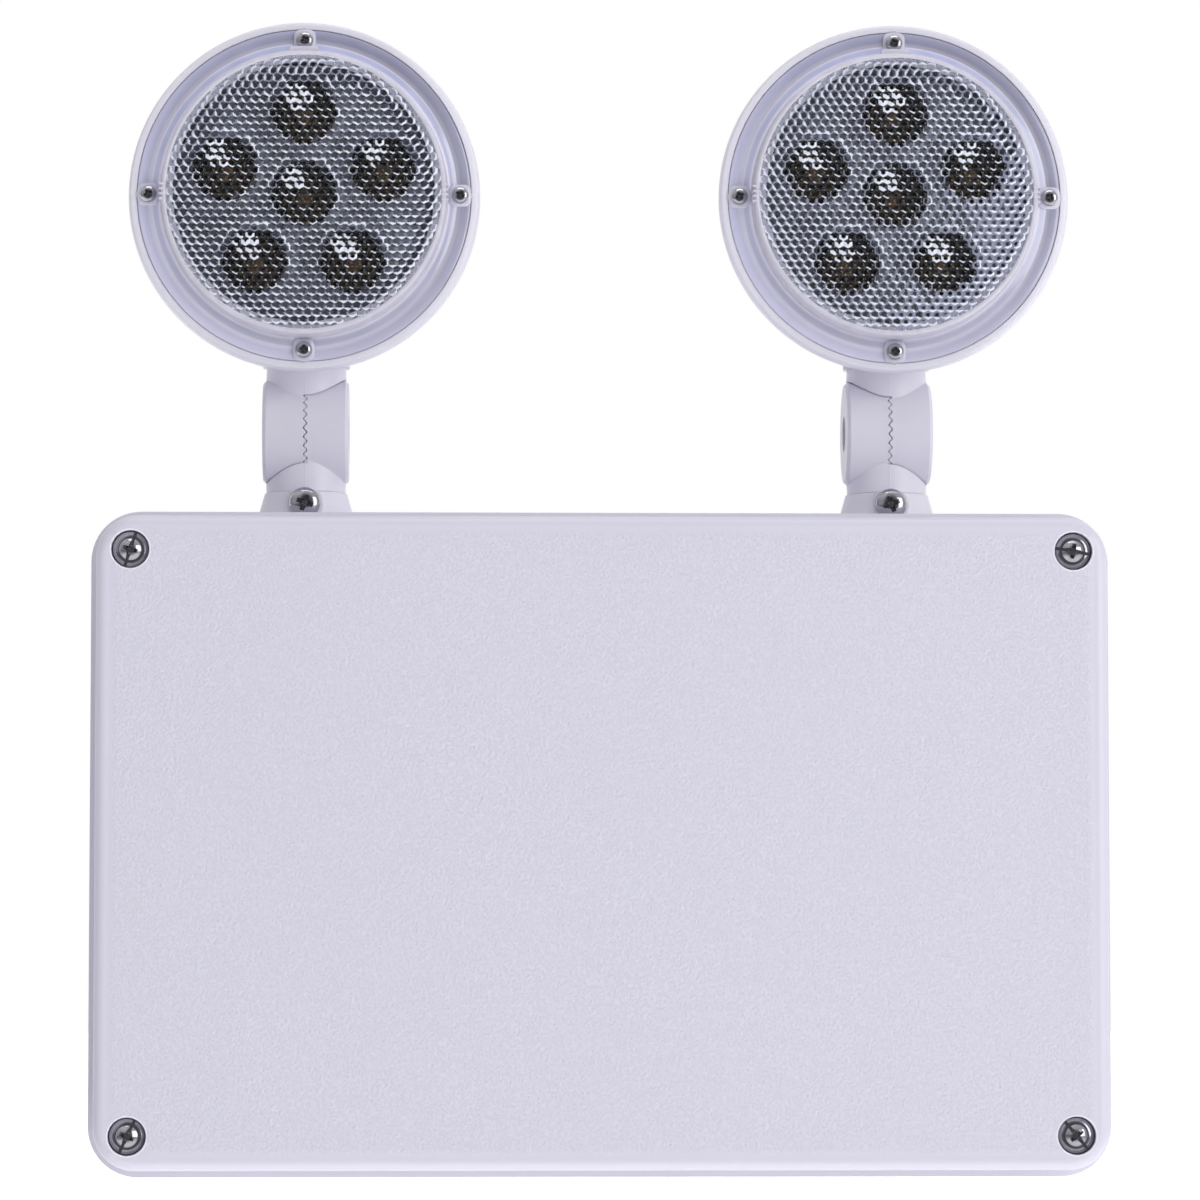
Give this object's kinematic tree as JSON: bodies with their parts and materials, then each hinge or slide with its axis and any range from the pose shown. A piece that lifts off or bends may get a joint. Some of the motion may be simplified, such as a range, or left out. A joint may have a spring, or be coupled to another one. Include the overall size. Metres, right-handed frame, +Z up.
{
  "type": "emergency light",
  "caption": "Wall emergency light: sealed rectangular battery housing with screwed cover and adjustable round lamp heads on toothed knuckle arms above it.",
  "frame": {"origin": "centre of the wall hole pattern, on the back face of the housing", "axes": "+Z up, +Y into the wall out of the back face, +X to the right as seen from the front; the front faces -Y"},
  "size_m": [0.286, 0.112, 0.3272],
  "materials": {
    "housing_plastic": "satin moulded",
    "cover_plastic": "fine moulded grain",
    "arm_plastic": "satin moulded",
    "head_plastic": "satin moulded",
    "gasket_rubber": "smooth",
    "lens_gasket": "smooth pale",
    "screw_steel": "bright stainless",
    "zinc_steel": "zinc plated",
    "insert_brass": "turned",
    "battery_case": "moulded",
    "circuit_board": "solder resist",
    "transformer_iron": "varnished",
    "relay_case": "moulded",
    "capacitor_can": "sleeved",
    "terminal_plastic": "moulded",
    "switch_black": "moulded",
    "button_red": "moulded",
    "indicator_lens": "clear green",
    "lens_clear": "clear polycarbonate",
    "reflector_metal": "vacuum metallised",
    "led_board_white": "white solder resist",
    "led_yellow": "phosphor dome"
  },
  "bodies": {
    "housing": {"rear_housing": "housing_plastic", "front_cover": "cover_plastic", "housing_gasket": "gasket_rubber", "cover_screws": "screw_steel", "cover_screw_seals": "gasket_rubber", "battery_pack": "battery_case", "battery_bracket": "zinc_steel", "bracket_screws": "screw_steel", "control_board": "circuit_board", "board_screws": "screw_steel", "transformer": "transformer_iron", "relay": "relay_case", "capacitors": "capacitor_can", "terminal_block": "terminal_plastic", "test_switch": "switch_black", "test_switch_nut": "zinc_steel", "charge_indicator": "indicator_lens", "left_collar": "arm_plastic", "left_collar_nut": "switch_black", "left_clamp_screw": "screw_steel", "right_collar": "arm_plastic", "right_collar_nut": "switch_black", "right_clamp_screw": "screw_steel"},
    "left_arm": {"left_lower_arm": "arm_plastic", "left_stem_ring": "gasket_rubber"},
    "left_head": {"left_upper_arm": "arm_plastic", "left_pivot_insert": "insert_brass", "left_pivot_screw": "screw_steel", "left_head_shell": "head_plastic", "left_neck_nut": "zinc_steel", "left_lens_gasket": "lens_gasket", "left_lens": "lens_clear", "left_lens_screws": "screw_steel", "left_reflector": "reflector_metal", "left_led_board": "led_board_white", "left_leds": "led_yellow"},
    "right_arm": {"right_lower_arm": "arm_plastic", "right_stem_ring": "gasket_rubber"},
    "right_head": {"right_upper_arm": "arm_plastic", "right_pivot_insert": "insert_brass", "right_pivot_screw": "screw_steel", "right_head_shell": "head_plastic", "right_neck_nut": "zinc_steel", "right_lens_gasket": "lens_gasket", "right_lens": "lens_clear", "right_lens_screws": "screw_steel", "right_reflector": "reflector_metal", "right_led_board": "led_board_white", "right_leds": "led_yellow"},
    "test_button": {"test_button": "button_red"}
  },
  "joints": [
    {"name": "left_swivel", "type": "hinge", "parent": "housing", "child": "left_arm", "pos_m": [-0.084, -0.052, 0.093], "axis": [0, 0, 1], "range_deg": [-90, 90]},
    {"name": "left_tilt", "type": "hinge", "parent": "left_arm", "child": "left_head", "pos_m": [-0.084, -0.052, 0.1194], "axis": [1, 0, 0], "range_deg": [-60, 60]},
    {"name": "right_swivel", "type": "hinge", "parent": "housing", "child": "right_arm", "pos_m": [0.084, -0.052, 0.093], "axis": [0, 0, 1], "range_deg": [-90, 90]},
    {"name": "right_tilt", "type": "hinge", "parent": "right_arm", "child": "right_head", "pos_m": [0.084, -0.052, 0.1194], "axis": [1, 0, 0], "range_deg": [-60, 60]},
    {"name": "test_press", "type": "slide", "parent": "housing", "child": "test_button", "axis": [0, 0, 1], "range_m": [0, 0.0025], "stiffness_N_per_m": 400, "springref_m": -0.001}
  ]
}
